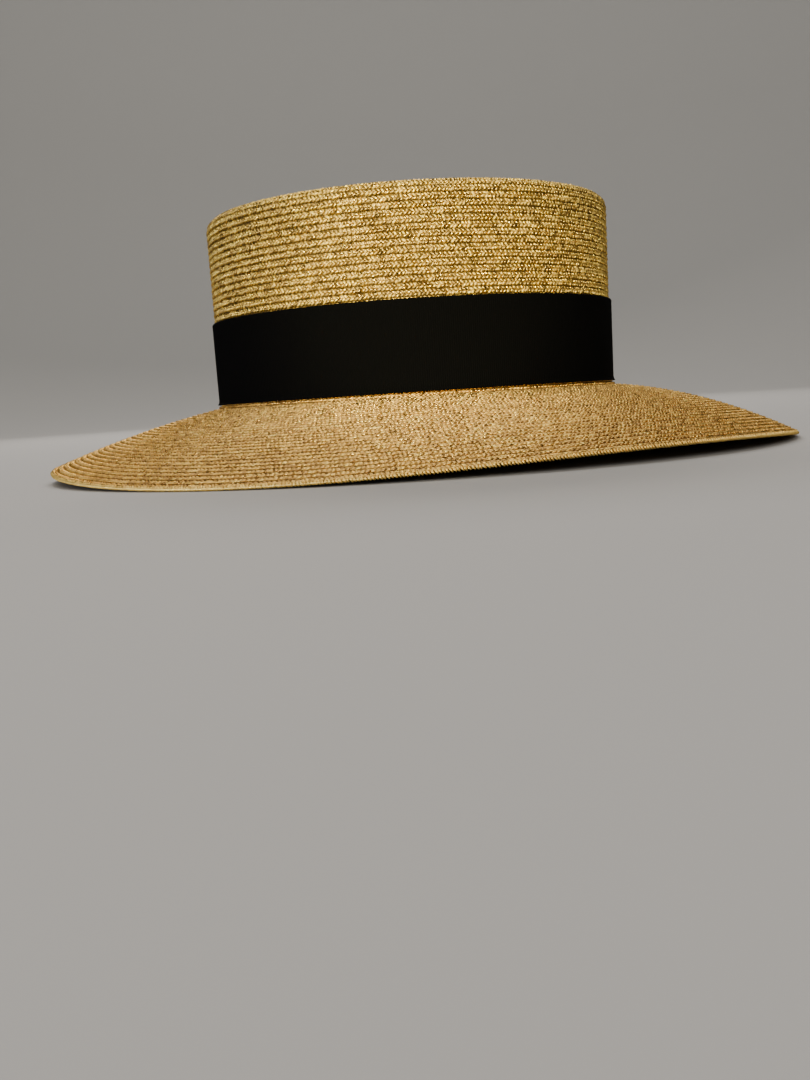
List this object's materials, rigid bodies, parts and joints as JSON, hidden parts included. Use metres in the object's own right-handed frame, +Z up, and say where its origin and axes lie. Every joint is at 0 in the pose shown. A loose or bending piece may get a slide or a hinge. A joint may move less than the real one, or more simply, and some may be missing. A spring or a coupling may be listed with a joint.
{
  "type": "straw boater hat",
  "caption": "Wide-brimmed straw boater hat with a flat oval crown and a plain grosgrain ribbon band, worn on the head, resting on its brim.",
  "frame": {"origin": "on the ground in the middle of the brim, where the hat rests on its rim", "axes": "+Z up through the crown's tip, +X along the hat's long oval towards its right tip, +Y to the far side"},
  "size_m": [0.3684, 0.328, 0.1194],
  "materials": {
    "straw": "sewn straw braid with a gold metallic thread, fine sparkle",
    "ribbon": "matte black ribbed grosgrain"
  },
  "bodies": {
    "root": {"crown": "straw", "brim": "straw", "ribbon_band": "ribbon"}
  },
  "joints": []
}
